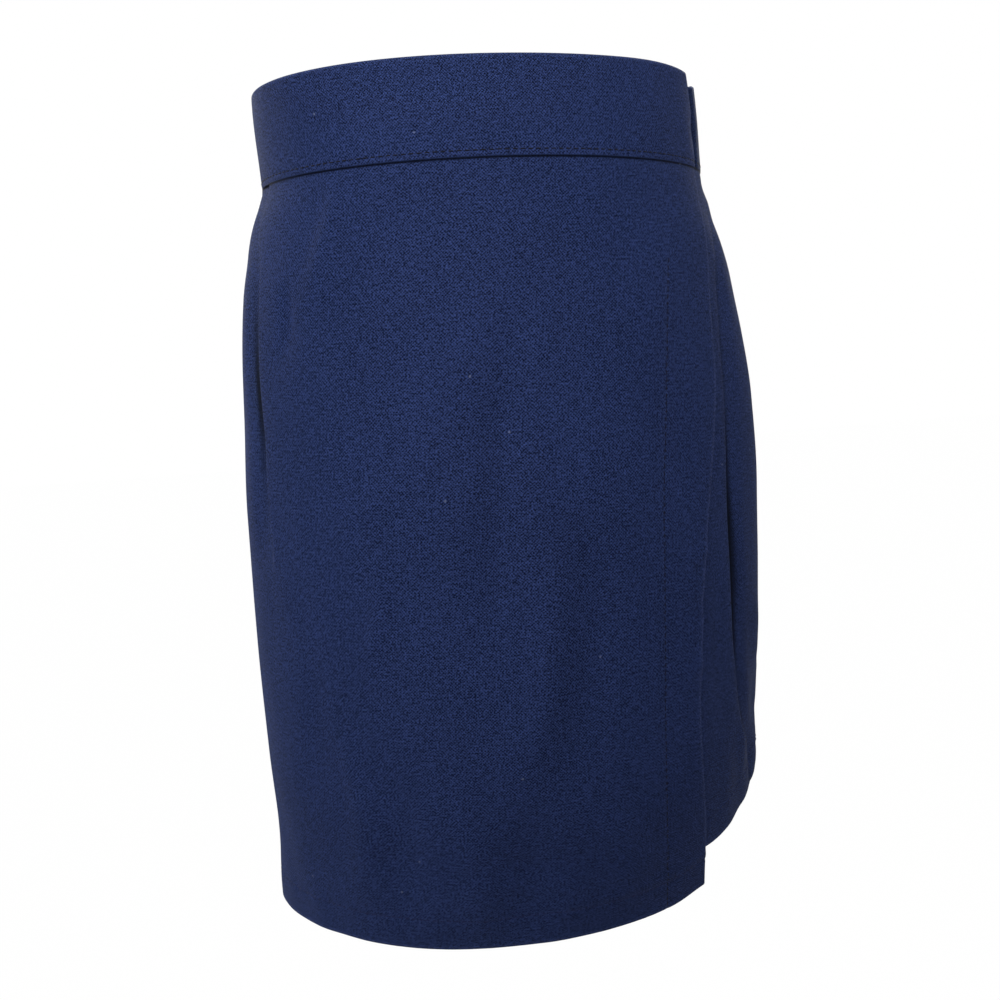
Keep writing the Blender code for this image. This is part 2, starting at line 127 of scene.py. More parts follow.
def ringDistance(height, angle):  # from the right side seam round the front: to an angle, and to the left seam
    along = runAlong(ringAt(height, ringTurns)[0])
    return np.interp(angle, ringTurns, along), along[-1]


class PlanCurve:  # a level curve round the figure, measured along from a side seam
    def __init__(self, points, outward):
        self.points, self.along = points, runAlong(points)
        self.length = self.along[-1]
        tangent = np.gradient(points, axis=0)
        self.normal = unit(outward * np.stack([tangent[:, 1], -tangent[:, 0]], 1))

    def reaches(self, x):  # distance at which the curve first comes within x of the centre line
        away = np.abs(self.points[:, 0])
        i = int(np.argmax(away < x))
        share = (away[i - 1] - x) / (away[i - 1] - away[i])
        return self.along[i - 1] + share * (self.along[i] - self.along[i - 1])

    def place(self, distance):
        return readLine(distance, self.along, self.points), unit(readLine(distance, self.along, self.normal))


# How a cloth's section runs: lists of (distance along, height above the figure).
def turnUnder(edge, out, radius, width, direction, strips):  # an edge folded under and laid back
    points = []
    for k in range(folding["turnPoints"] + 1):
        a = pi * k / folding["turnPoints"]
        points.append((edge - direction * radius * (1 - sin(a)), out - radius * (1 - cos(a))))
    for k in range(1, strips + 1):
        points.append((edge - direction * (radius + width * k / strips), out - 2 * radius))
    return points


def seamEdge(radius):  # a side seam's allowance, from its raw edge to the seam
    return turnUnder(cloth["seamGap"], 0, radius, cloth["allowance"], -1, folding["allowancePoints"])[::-1]


def edgeRadius(height, hem):  # an edge is bulkier where it is turned together with the hem
    thin = (cloth["ply"] + cloth["layerGap"]) / 2
    return thin + (cloth["bulkyFold"] - thin) * ease(-height, -hem - 32, -hem - 21)


def foldPoints(start, up, angle, radius, sign):  # an arc of a fold: 1 bends up from the cloth, -1 back down to it
    first, steps, points = (0.0 if sign > 0 else angle), folding["arcPoints"], []
    for k in range(1, steps + 1):
        part = angle * (k / steps if sign > 0 else 1 - k / steps)
        points.append((start + sign * radius * (sin(part) - sin(first)),
                       up + sign * radius * (cos(first) - cos(part))))
    return points


def tuckPoints(rows, height, first, edge, shares, until, beyond):  # from the side seam, under the fold and on
    f = folding
    depth, turn, gape, lift, belly = (readRows(rows, height, column) for column in range(2, 7))
    turn, depth = max(turn, f["leastTurn"]), max(depth, f["leastDepth"])
    angle = radians(turn)
    nipped = fade(height, -52, -46)
    ply = cloth["pressedPly"] + (cloth["ply"] - cloth["pressedPly"]) * nipped
    inner = (ply + f["clear"] + f["innerGap"] * nipped) / 2 * 180 / turn
    outer = (ply + f["clear"] + gape * nipped) / 2 * 180 / turn
    low = lift - (inner + outer) * (1 - cos(angle)) - depth * sin(angle)
    before = edge - f["flat"]
    fuller = 0.9 * float(ease(-height, 325, 350))  # where the tuck runs out, the belly keeps up to the fold
    points = []
    for k in range(1, f["inPoints"]):
        share = 1 - (1 - k / (f["inPoints"] - 1)) ** 1.7
        at = first + (before - first) * share
        out = belly * sin(pi * share) ** (2 - fuller * share) + low * ease(at, before - f["runUnder"], before)
        points.append((at, out))
    along = edge + (depth + outer) * turn / 180
    points += [((before * 2 + along) / 3, low), ((before + along * 2) / 3, low), (along, low)]
    points += foldPoints(along, low, angle, inner, 1)
    along, up = points[-1][0] + depth * cos(angle), points[-1][1] + depth * sin(angle)
    points += [((points[-1][0] + along) / 2, (points[-1][1] + up) / 2), (along, up)]
    points += foldPoints(along, up, angle, outer, -1)
    along, up = points[-1]
    for at in [along + (until - along) * share for share in shares] + beyond:
        points.append((at, up * fade(at - along, 0, f["runOver"])))
    return points


# columns of a tucked section: where it dives under its fold, and along the fold's outermost line
foldStart = folding["allowancePoints"] + folding["turnPoints"] + folding["inPoints"] - 1
foldRim = foldStart + 3 + folding["arcPoints"] + 2 + folding["arcPoints"] // 2


# Soft relief of worn cloth.
def creaseRelief(creases, across, height):
    relief = np.zeros(np.broadcast(across, height).shape)
    for a0, h0, a1, h1, proud, width in creases:
        length = hypot(a1 - a0, h1 - h0)
        ux, uy = (a1 - a0) / length, (h1 - h0) / length
        t = ((across - a0) * ux + (height - h0) * uy) / length
        off = (across - a0) * uy - (height - h0) * ux
        off = off + 0.06 * length * np.sin(pi * np.clip(t, 0, 1))  # a crease is never quite straight
        ends = ease(t, -0.12, 0.3) * fade(t, 0.62, 1.12)
        relief += proud * ends * np.exp(-(off / (width * (0.8 + 0.5 * np.clip(t, 0, 1)))) ** 2)
    return relief


def ripple(seed, across, height, amount, longest=70.0, waves=7):  # low, uneven swell of pressed cloth
    rng = np.random.default_rng(seed)
    total = 0
    for k in range(waves):
        length = longest * (0.82 ** k)
        heading = radians(rng.uniform(-35, 35))
        total = total + rng.uniform(0.4, 1) * 0.86 ** k * np.sin(
            2 * pi * (across * cos(heading) + height * sin(heading)) / length + rng.uniform(0, 6.3))
    return amount * total / waves * 2


def scatterCreases(seed, count, acrossRange, heightRange, proud):  # creases for the sides that hang free
    rng = np.random.default_rng(seed)
    creases = []
    for k in range(count):
        a, h = rng.uniform(*acrossRange), rng.uniform(*heightRange)
        length, lean = rng.uniform(35, 105), radians(rng.normal(0, 17))
        creases.append((a, h, a + length * sin(lean), h - length * cos(lean),
                        rng.choice([-1, 1]) * rng.uniform(0.4, 1) * proud, rng.uniform(5, 11)))
    return creases


def pucker(seed, along, away, amount, reach=4.5):  # the small gathers that a stitch line pulls in
    rng = np.random.default_rng(seed)
    wave = 0
    for length in (6.3, 9.1, 13.7, 21.0):
        wave = wave + np.sin(2 * pi * along / length + rng.uniform(0, 6.3)) * rng.uniform(0.5, 1)
    return amount * wave * np.exp(-(np.abs(away) / reach) ** 1.5) - 0.24 * hump(away, 0, 0.75)


def unitSteps(grid, axis):  # unit vectors along the grid, averaged at each point, and how long each average is
    step = unit(np.diff(grid, axis=axis))
    before = np.concatenate([np.take(step, [0], axis), step], axis)
    after = np.concatenate([step, np.take(step, [-1], axis)], axis)
    mean = (before + after) / 2
    length = np.linalg.norm(mean, axis=2)[..., None]
    return mean / np.maximum(length, 1e-6), length


def gridNormals(grid, outward):  # towards the cloth's right side
    down, downLength = unitSteps(grid, 0)
    across, acrossLength = unitSteps(grid, 1)
    return unit(np.cross(down, across) * outward), np.maximum(downLength * acrossLength, 0.7)


def addItem(name, data):
    item = bpy.data.objects.new(name, data)
    scene.collection.objects.link(item)
    return item


def declare(piece, slot, *nodes):  # every piece rides on the skort's one body
    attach(piece, "root")
    if nodes:
        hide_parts(*nodes)


def makeMesh(name, verts, faces, material, uv=None, tones=None, sharp=50):
    mesh = bpy.data.meshes.new(name)
    mesh.from_pydata((verts * mm).tolist(), [], faces)
    mesh.validate()
    mesh.shade_smooth()
    mesh.set_sharp_from_angle(angle=radians(sharp))
    if uv is not None:
        corners = np.zeros(len(mesh.loops), int)
        mesh.loops.foreach_get("vertex_index", corners)
        layer = mesh.uv_layers.new(name="clothMetres")
        layer.data.foreach_set("uv", (uv[corners] * mm).astype(np.float32).ravel())
    for key, values in (tones or {}).items():
        mesh.attributes.new(key, "FLOAT", "POINT").data.foreach_set("value", np.asarray(values, np.float32))
    mesh.materials.append(material)
    return addItem(name, mesh)


def clothShell(name, grid, uv, tones, ply, material, outward):  # a ply with two faces and a cut edge all round
    normal, mitre = gridNormals(grid, outward)
    shift = normal * ply[..., None] / 2 / mitre
    rows, columns = grid.shape[:2]
    back = rows * columns
    number = np.arange(back).reshape(rows, columns)
    a, b, c, d = (part.ravel() for part in (number[:-1, :-1], number[:-1, 1:], number[1:, 1:], number[1:, :-1]))
    rim = np.concatenate([number[0], number[1:, -1], number[-1, -2::-1], number[-2:0:-1, 0]])
    following = np.roll(rim, -1)
    faces = []
    sides = (a, d, c, b), (a + back, b + back, c + back, d + back), (rim, following, following + back, rim + back)
    for corners in sides:
        faces += np.stack(corners, 1)[:, ::outward].tolist()
    verts = np.concatenate([(grid + shift).reshape(-1, 3), (grid - shift).reshape(-1, 3)])
    tones = {key: np.tile(values.ravel(), 2) for key, values in tones.items()}
    return makeMesh(name, verts, faces, material, np.tile(uv.reshape(-1, 2), (2, 1)), tones), normal


def stitchRow(name, points, normals, material):  # a run of thread, one small arch for each stitch
    s = stitches
    along = runAlong(points)
    count, sides = int(along[-1] / s["pitch"]), s["sides"]
    ring = np.radians(np.arange(sides) * 360 / sides)
    half = [(0, 0.1, 1.05), (0.3, 0.06, 1), (0.44, -0.05, 0.95), (0.5, -s["dive"], 0.7)]  # share, height, girth
    arch = [(-share, up, girth) for share, up, girth in half[:0:-1]] + half
    rng = np.random.default_rng(len(name))
    verts, faces = [], []
    for k in range(count):
        middle = (k + 0.5) * along[-1] / count
        skew = rng.normal(0, 0.05)
        for part, (share, up, girth) in enumerate(arch):
            at = middle + share * s["visible"]
            place, normal = readLine(at, along, points), readLine(at, along, normals)
            if part == 0:
                side = unit(np.cross(unit(readLine(at + s["visible"], along, points) - place), normal))
            base, thick = len(verts), s["thread"] * girth
            for a in ring:
                verts.append(place + normal * (up + thick * sin(a)) + side * (thick * cos(a) + skew * share))
            if part:
                for m in range(sides):
                    n = (m + 1) % sides
                    faces.append((base - sides + m, base - sides + n, base + n, base + m))
        first = len(verts) - sides * len(arch)
        faces.append(tuple(range(first + sides - 1, first - 1, -1)))
        faces.append(tuple(range(len(verts) - sides, len(verts))))
    declare(makeMesh(name, np.array(verts), faces, material, sharp=70), "navy_gabardine")


def linear(code):  # sRGB hex to linear
    values = [int(code[k:k + 2], 16) / 255 for k in (1, 3, 5)]
    return tuple(v / 12.92 if v <= 0.04045 else ((v + 0.055) / 1.055) ** 2.4 for v in values) + (1.0,)


def addNode(tree, kind, settings=None, inputs=None):  # inputs: a value, a node or an output for each socket
    node = tree.nodes.new("ShaderNode" + kind)
    for key, value in (settings or {}).items():
        setattr(node, key, value)
    for key, value in (inputs or {}).items():
        if isinstance(value, bpy.types.Node):
            value = value.outputs[0]
        if isinstance(value, bpy.types.NodeSocket):
            tree.links.new(value, node.inputs[key])
        else:
            node.inputs[key].default_value = value
    return node


def newMaterial(name):
    material = bpy.data.materials.new(name)
    material.use_nodes = True
    material.node_tree.nodes.clear()
    return material, material.node_tree


# the dye's two thread tones; a paler tone, part wear, part painted highlight; a near-black painted shade; lint
suitingColoursAndPaintedLight = {"deep": "#0c1226", "light": "#334273", "rubbedAndHighlit": "#465382", "paintedShadeZone": "#04070f", "lint": "#77809c"}


def wovenSuiting(name, bumpHeight, bumpStrength):
    # Polyester and cotton suiting, plain weave, piece dyed: a matt, slightly dusty navy. Threads turn over and
    # under, so that neighbours catch the light differently and the tone is peppered; fibre ends give a pale bloom
    # at grazing angles.
    material, tree = newMaterial(name)
    flat, times, plus = {"noise_dimensions": "2D"}, {"operation": "MULTIPLY"}, {"operation": "MULTIPLY_ADD"}
    uv = addNode(tree, "UVMap", {"uv_map": "clothMetres"})
    # the threads wander a millimetre aside every few millimetres
    wander = addNode(tree, "TexNoise", flat, {"Vector": uv, "Scale": 160.0, "Detail": 1.0})
    laid = addNode(tree, "VectorMath", plus, {0: wander.outputs["Color"], 1: (0.0011, 0.0011, 0), 2: uv})
    perMetre = pi / (cloth["threadPitch"] * mm)
    threads = addNode(tree, "VectorMath", {"operation": "SCALE"}, {0: laid, "Scale": perMetre})
    waves = addNode(tree, "VectorMath", {"operation": "SINE"}, {0: threads})
    split = addNode(tree, "SeparateXYZ", None, {0: waves})
    overUnder = addNode(tree, "Math", times, {0: split.outputs[0], 1: split.outputs[1]})
    # each yarn is a little thicker, paler or slubbed for a stretch: noise 0.8 mm across it and 4 to 5 mm along it
    yarns = []
    for stretch in ((1150.0, 260.0, 1.0), (210.0, 1250.0, 1.0)):
        drawn = addNode(tree, "VectorMath", times, {0: laid, 1: stretch})
        fibres = {"Vector": drawn, "Scale": 1.0, "Detail": 2.0, "Roughness": 0.6}
        yarns.append(addNode(tree, "TexNoise", flat, fibres))
    warp, weft = yarns
    top = addNode(tree, "Math", plus, {0: overUnder, 1: 2.0, 2: 0.5})
    yarn = addNode(tree, "Mix", {"data_type": "FLOAT"}, {0: top, 2: weft, 3: warp})
    # clumps of fibre, 0.9 mm, and dye that took a little unevenly over a hand's breadth
    picks = addNode(tree, "TexNoise", flat, {"Vector": uv, "Scale": 1120.0, "Detail": 1.5, "Roughness": 0.6})
    dye = addNode(tree, "TexNoise", flat, {"Vector": uv, "Scale": 22.0, "Detail": 3.0})
    tone = -1.10
    for pattern, share in ((overUnder, 0.36), (yarn, 0.9), (weft, 0.35), (picks, 1.65), (dye, 0.16)):
        tone = addNode(tree, "Math", plus, {0: pattern, 1: share, 2: tone})
    # folds and edges are painted paler: partly rubbing that shows the yarn's paler heart, partly painted highlight;
    # cloth under a fold and in the seams is painted near black as painted shade; and there are a few specks of lint
    wearAndHighlight, paintedShadeMask = (addNode(tree, "Attribute", {"attribute_name": key}) for key in ("wearAndHighlight", "paintedShadeMask"))
    rubbedAndHighlitShare = addNode(tree, "Math", times, {0: wearAndHighlight.outputs["Fac"], 1: picks})
    paintedShadeShare = addNode(tree, "Math", times, {0: paintedShadeMask.outputs["Fac"], 1: 0.94})
    specks = addNode(tree, "TexVoronoi", {"voronoi_dimensions": "2D"}, {"Vector": laid, "Scale": 11.0})
    lint = addNode(tree, "MapRange", None,
                   {"Value": specks, "From Min": 0.003, "From Max": 0.0075, "To Min": 0.4, "To Max": 0.0})
    colour = linear(suitingColoursAndPaintedLight["deep"])
    for share, towards in ((tone, "light"), (rubbedAndHighlitShare, "rubbedAndHighlit"), (paintedShadeShare, "paintedShadeZone"), (lint, "lint")):
        mixed = addNode(tree, "Mix", {"data_type": "RGBA"}, {0: share, 6: colour, 7: linear(suitingColoursAndPaintedLight[towards])})
        colour = mixed.outputs[2]
    crowned = addNode(tree, "Math", {"operation": "ABSOLUTE"}, {0: overUnder})
    height = addNode(tree, "Math", plus, {0: picks, 1: 0.8, 2: crowned})
    bump = addNode(tree, "Bump", None, {"Strength": bumpStrength, "Distance": bumpHeight * mm, "Height": height})
    shader = addNode(tree, "BsdfPrincipled", None, {
        "Base Color": colour, "Roughness": 0.7, "IOR": 1.5, "Specular IOR Level": 0.02,
        "Sheen Weight": 0.02, "Sheen Roughness": 0.4, "Sheen Tint": linear("#dfe4f0"), "Normal": bump})
    addNode(tree, "OutputMaterial", None, {0: shader})
    return material


def sewingThread(name, deep, light):
    # Spun polyester thread, twisted: a fine matt cord, a shade deeper than the cloth and slightly ridged across
    material, tree = newMaterial(name)
    place = addNode(tree, "TexCoord").outputs["Object"]
    twist = {"Vector": place, "Scale": 900.0, "Distortion": 1.0}
    ridge = addNode(tree, "TexWave", {"bands_direction": "DIAGONAL"}, twist).outputs["Fac"]
    colour = addNode(tree, "Mix", {"data_type": "RGBA"}, {0: ridge, 6: linear(deep), 7: linear(light)})
    bump = addNode(tree, "Bump", None, {"Strength": 0.5, "Distance": 0.05 * mm, "Height": ridge})
    shader = addNode(tree, "BsdfPrincipled", None, {
        "Base Color": colour.outputs[2], "Roughness": 0.6, "IOR": 1.52, "Specular IOR Level": 0.1, "Normal": bump})
    addNode(tree, "OutputMaterial", None, {0: shader})
    return material


def nickelPlatedSteel(name):
    # Pressed sheet steel, barrel-plated with nickel: warm grey, satin, with faint scratches that soften glints
    material, tree = newMaterial(name)
    place = addNode(tree, "TexCoord").outputs["Object"]
    drawn = addNode(tree, "VectorMath", {"operation": "MULTIPLY"}, {0: place, 1: (900.0, 900.0, 5200.0)})
    scratch = addNode(tree, "TexNoise", None, {"Vector": drawn, "Scale": 1.0, "Detail": 4.0})
    colour = addNode(tree, "Mix", {"data_type": "RGBA"}, {0: scratch, 6: linear("#a39f99"), 7: linear("#c6c3bd")})
    rough = addNode(tree, "MapRange", None, {"Value": scratch, "To Min": 0.26, "To Max": 0.44})
    bump = addNode(tree, "Bump", None, {"Strength": 0.25, "Distance": 0.01 * mm, "Height": scratch})
    shader = addNode(tree, "BsdfPrincipled", None,
                     {"Base Color": colour.outputs[2], "Roughness": rough, "Metallic": 1.0, "Normal": bump})
    addNode(tree, "OutputMaterial", None, {0: shader})
    return material


suiting = wovenSuiting("navyPlainWeaveSuiting", 0.14, 0.7)
bandSuiting = wovenSuiting("navyPlainWeaveInterfaced", 0.12, 0.63)
# this thread is near black: its own dark colour, darkened further as painted shade of the stitch holes
thread = sewingThread("navyThreadWithPaintedHoleShade", "#02040a", "#070c1c")
hemThread = sewingThread("navyFineHemThread", "#0d1532", "#16204a")
steel = nickelPlatedSteel("nickelPlatedSteel")
print("materials made")

# Waistband: one folded, interfaced strip, lapped over itself at the wearer's left.
waistband = {
    "width": 44.0, "wall": 3.0, "out": 1.3, "perDegree": 1.75,      # millimetres round the waist in a degree
    "stepAngle": 1.25, "endRound": 1.6,
    # the lapped end, how far round the underlap goes on, and how far in it lies
    "lapEnd": 61.0, "lapLength": 23.0, "lapDrop": 6.0, "hookRoom": 2.4,
    "hookReturn": (56.5, 61.0), "lapReturn": (61.3, 66.5), "lapTwist": 3.0,
    "sideSwell": 0.7, "swellFrom": 22.0, "swellWide": 18.0,     # stands out forward of the left side seam
    "stitchUp": 2.3,        # topstitching above the seam
    "endLift": 1.3, "liftFrom": 20.0,       # the lapped end rides up a little
    "topLift": 0.75, "lapLift": 1.0, "underSink": 4.6,
}


def sideSwell(forward):  # forward of the left side seam
    b = waistband
    return b["sideSwell"] * hump(forward, b["swellFrom"], b["swellWide"])


def bandProfile():  # round the strip's section: (height below the top, how far out of its middle)
    half = waistband["wall"] / 2
    down = [44.1, 43.5, 43, 42.5, 42.1, 41.7, 41.3, 40.9, 40.2, 39] + list(np.arange(37, 3, -2.4)) + [2.2, 1.6]
    top = [(half - half * sin(radians(a)), half * cos(radians(a))) for a in range(0, 181, 18)]
    # the two lower edges stand open round the cloth that is sewn between them
    lower = [(44.55, 0.04), (44.8, 0.22), (44.65, 0.46), (44.1, 0.5), (43.0, 0.5), (42.7, 0.7)]
    lower = [(h, o - half) for h, o in lower]
    return ([(h, half) for h in down] + top + [(h, -half) for h in down[::-1]]
            + lower + [(h, -o) for h, o in lower[::-1]])


def returnEnd(drop):  # the underlap comes out sooner at its sewn edge
    return waistband["lapReturn"][1] - waistband["lapTwist"] * ease(drop, 14, 42)


def frontAngle(angle):  # the same place as an angle from centre front
    return (angle + 180) % 360 - 180


def bandMiddle(angle, drop):
    b = waistband
    front = frontAngle(angle)
    under = b["hookRoom"] * fade(angle, *b["hookReturn"])
    under = under + (b["lapDrop"] - b["hookRoom"]) * fade(angle, b["lapReturn"][0], returnEnd(drop))
    return b["out"] - under + sideSwell((90 - front) * b["perDegree"]) * ease(front, 20, 50)


def bandPoint(angle, drop, off):
    b = waistband
    nearEnd = ease(angle, b["liftFrom"] + 360, b["lapEnd"] + 358)
    lift = b["endLift"] * nearEnd + b["topLift"] + b["lapLift"] * hump(frontAngle(angle), 36, 24)
    share = 1 - drop / b["width"]
    lift = lift * share - b["underSink"] * hump(angle, 66, 8) * share ** 2  # the underlap slips down behind
    height = lift - drop
    point, facing = ringAt(height, angle)
    around = angle * 1.7  # near enough millimetres for the ripples
    stitchDrop = b["width"] - b["stitchUp"]
    pinch = 0.2 * hump(drop, stitchDrop, 0.8) + 0.06 * np.sin(2 * pi * around / 7.1) * hump(drop, stitchDrop, 4)
    puff = 0.3 * np.sin(pi * np.clip(drop / stitchDrop, 0, 1)) - 0.25 * ease(drop, 42.4, 44.6)
    swell = ripple(71, around, drop * 0.6, 0.3, 60.0) * ease(drop, -4, 10) * fade(drop, 36, 44)
    dent = -0.8 * hump(angle, b["lapEnd"] + 358.6, 1.4) * hump(drop, 28, 5) * (off > 0)
    out = bandMiddle(angle, drop) + off + np.sign(off) * (puff - pinch) + swell + dent
    return point + facing * out[..., None], height


def makeBand():
    b = waistband
    profile = np.array(bandProfile())
    first, last = b["lapEnd"] - b["lapLength"], b["lapEnd"] + 360
    inset = np.array([0, 0.12, 0.3, 0.6, 1.0, 1.6]) / b["perDegree"]  # crowded at the rounded ends
    count = int((last - first) / b["stepAngle"])
    middle = np.linspace(first + 1.9, last - 1.9, count)
    angles = np.concatenate([first + inset, middle, (last - inset)[::-1]])[:, None]
    away = np.minimum(angles - first, last - angles) * b["perDegree"]
    shut = np.sqrt(np.clip(1 - (1 - np.clip(away / b["endRound"], 0, 1)) ** 2, 0.0, 1)) * 0.94 + 0.06
    trim = 0.9 * (1 - shut)
    drop = np.clip(profile[:, 0][None] * np.ones_like(shut), trim, 44.8 - trim)
    points, height = bandPoint(angles, drop, profile[:, 1][None] * shut)
    grid = np.concatenate([points, height[..., None]], 2)
    rows, columns = grid.shape[:2]
    number = np.arange(rows * columns).reshape(rows, columns)
    follow = np.roll(number, -1, axis=1)
    corners = (follow[:-1], follow[1:], number[1:], number[:-1])
    faces = np.stack([corner.ravel() for corner in corners], 1).tolist()
    faces += [tuple(number[0].tolist()), tuple(number[-1, ::-1].tolist())]
    uv = np.stack(np.broadcast_arrays(runAlong(grid[:, 10])[:, None], -runAlong(profile)[None]), 2).reshape(-1, 2)
    # the top edge and the lapped ends are painted paler, partly wear, partly painted highlight
    wearAndHighlight = 0.5 * hump(drop, 0, 1.5) + 1.3 * hump(away, 0, 1.3)
    paintedShade = 0.9 * ease(drop, 44.1, 44.6)  # painted shade in the seam, then on the underlap beside the lapped end
    paintedShade = paintedShade + 0.5 * fade(angles, b["lapReturn"][0] + 1.2, returnEnd(drop)) + 0.35 * fade(angles, 64, 76)
    tones = {"wearAndHighlight": np.clip(wearAndHighlight, 0, 1).ravel(), "paintedShadeMask": np.clip(paintedShade, 0, 1).ravel()}
    piece = makeMesh("bandStrip", grid.reshape(-1, 3), faces, bandSuiting, uv, tones)
    declare(piece, "navy_gabardine_band", "waistband")
    # topstitching just above the waist seam, on both faces
    stitchDrop = b["width"] - b["stitchUp"]
    for name, off, start in (("bandStitching", 1.5, first + 24), ("bandStitchingInside", -1.5, first + 2)):
        turn = np.linspace(start, last - 1.0, 700)
        line, level = bandPoint(turn, stitchDrop, off)
        facing = ringAt(-stitchDrop, turn)[1] * np.sign(off)
        normals = np.concatenate([facing, np.zeros((len(turn), 1))], 1)
        stitchRow(name, np.concatenate([line, level[:, None]], 1), normals, thread)
    print("waistband", grid.shape)
    return piece


# Sheets: level tables of a section's run, then a grid from the waist to the hem.
tableRows = ("base", "normal", "out", "distance", "cloth")


def levelTable(levels, pathAt):  # pathAt(height) gives a curve and its (distance, out) points
    rows = []
    for height in levels:
        curve, points = pathAt(height)
        points = np.array(points)
        rows.append((*curve.place(points[:, 0]), points[:, 1], points[:, 0], runAlong(points)))
    table = {key: np.array(column) for key, column in zip(tableRows, zip(*rows))}
    table["levels"] = np.array(levels)
    return table


def sampleTable(table, z):
    levels = table["levels"]
    i = np.clip(np.searchsorted(-levels, -z, side="right") - 1, 0, len(levels) - 2)
    t = np.clip((levels[i] - z) / (levels[i] - levels[i + 1]), 0, 1)
    j = np.arange(z.shape[1])[None, :]
    result = {}
    for key in tableRows:
        values = table[key]
        share = t[..., None] if values.ndim == 3 else t
        result[key] = values[i, j] * (1 - share) + values[i + 1, j] * share
    return result


def foldTones(distance, z, rim, paintedShade, wide):  # its rim: wear and painted highlight; beside it: painted shade
    column = np.arange(distance.shape[1])[None, :]
    away = np.clip(distance[:, foldStart:foldStart + 1] - distance, 0, None)
    paintedShadeZone = np.where(column <= foldStart, fade(away, wide * 0.7, wide * 1.3), column < foldRim - 2)
    return rim * hump(column, foldRim, 2.0), paintedShade * paintedShadeZone


# heights above the hem's fold, crowded round its stitch line; and levels below the waist seam, crowded at the seam
hemSteps = [cloth["hemDeep"], cloth["hemDeep"] - 1] + [
    cloth["hemStitch"] + up for up in (1.6, 0.8, 0, -0.8, -1.6, -3.4, -5.8, -8.2, -10.6, -12.8, -14.4, -15.6)]
seamRows = np.array([0, 0.0016, 0.0032, 0.0046, 0.006, 0.0074, 0.009, 0.011, 0.0135, 0.017])


def hemFold(table, height, hemLine):  # where each column reaches the fold of its hem
    level = np.full((1, table["out"].shape[1]), height)
    hem = hemLine(sampleTable(table, level)["distance"][0]) + cloth["hemFold"]
    return hem, hem + hemSteps[0] + 0.8


def dropHem(main, outward):  # turns the cloth up: round the fold, then back up its own wrong side
    radius, steps = cloth["hemFold"], folding["turnPoints"]
    normal, down = gridNormals(main, outward)[0], unitSteps(main, 0)[0]
    rows = [main]
    for k in range(1, steps + 1):
        a = pi * k / steps
        rows.append((main[-1] + down[-1] * radius * sin(a) - normal[-1] * radius * (1 - cos(a)))[None])
    turned = (main - 2 * radius * normal)[-len(hemSteps) - 1:-1]
    return np.concatenate(rows + [turned[::-1]])


def finishSheet(name, table, upper, hem, relief, toneAt, anchor, outward):
    z = np.concatenate([upper] + [(hem + step)[None] for step in hemSteps + [0]])
    place = sampleTable(table, z)
    across = place["distance"]
    out = place["out"] + relief(across, z)
    plan = place["base"] + place["normal"] * out[..., None]
    grid = dropHem(np.concatenate([plan, z[..., None]], 2), outward)
    extra = len(grid) - len(z)

    def downHem(values):  # the turned cloth takes what its fold has
        return np.concatenate([values, np.repeat(values[-1:], extra, axis=0)])

    down = runAlong(grid[:, grid.shape[1] // 2])
    # no two pieces are cut from one spot
    u = downHem(place["cloth"] - place["cloth"][:, anchor:anchor + 1] + 90 * len(name))
    v = np.concatenate([z, z[-1:] - (down[len(z):] - down[len(z) - 1])[:, None]])
    tones = {key: downHem(np.clip(values, 0, 1)) for key, values in toneAt(across, z).items()}
    ply = cloth["ply"] - (cloth["ply"] - cloth["pressedPly"]) * ease(downHem(z), -50, -46)
    piece, normals = clothShell(name, grid, np.stack([u, v], 2), tones, ply, suiting, outward)
    hemRow = len(z) - 1 - len(hemSteps) + hemSteps.index(cloth["hemStitch"])
    return {"piece": piece, "grid": grid, "normals": normals, "z": z, "hemRow": hemRow}


def stitchesOn(name, sheet, rows, columns, cord):  # along grid rows and columns, sunk a little into the cloth
    points, normals = sheet["grid"][rows, columns], sheet["normals"][rows, columns]
    stitchRow(name, points + normals * (cloth["ply"] / 2 - 0.05), normals, cord)


